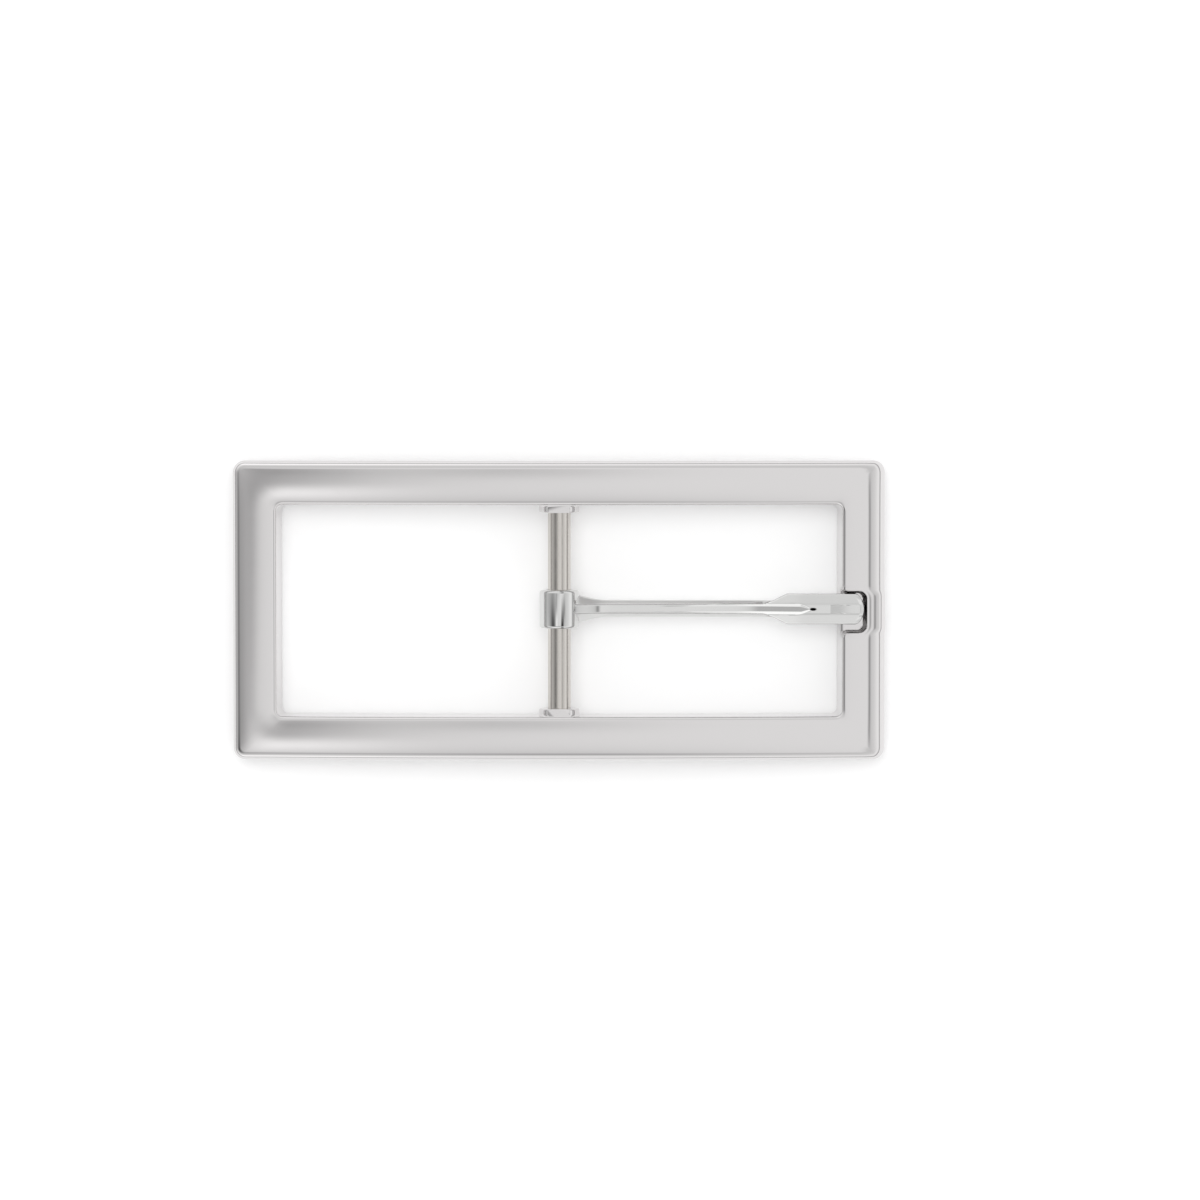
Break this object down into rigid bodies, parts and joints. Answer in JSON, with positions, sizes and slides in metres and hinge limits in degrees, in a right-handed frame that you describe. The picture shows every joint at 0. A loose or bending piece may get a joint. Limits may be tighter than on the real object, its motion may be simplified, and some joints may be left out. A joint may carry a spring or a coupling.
{
  "type": "belt buckle",
  "caption": "Rectangular centre-bar buckle: bowed frame, bar across its window and a hinged prong that rests in a notch in the end bar.",
  "frame": {"origin": "middle of the plane that the backs of the two end bars lie on", "axes": "+X along the frame from its middle to the notch that takes the prong, +Y across the frame, +Z out of the front face"},
  "size_m": [0.0852, 0.039, 0.0066],
  "materials": {
    "frame_chrome": "polished",
    "pin_steel": "nickel plated, drawn",
    "prong_chrome": "polished"
  },
  "bodies": {
    "frame_body": {"frame": "frame_chrome", "centre_bar": "pin_steel"},
    "prong_body": {"prong": "prong_chrome"}
  },
  "joints": [
    {"name": "prong_pivot", "type": "hinge", "parent": "frame_body", "child": "prong_body", "pos_m": [0, 0, 0.0039], "axis": [0, -1, 0], "range_deg": [0, 176]}
  ]
}
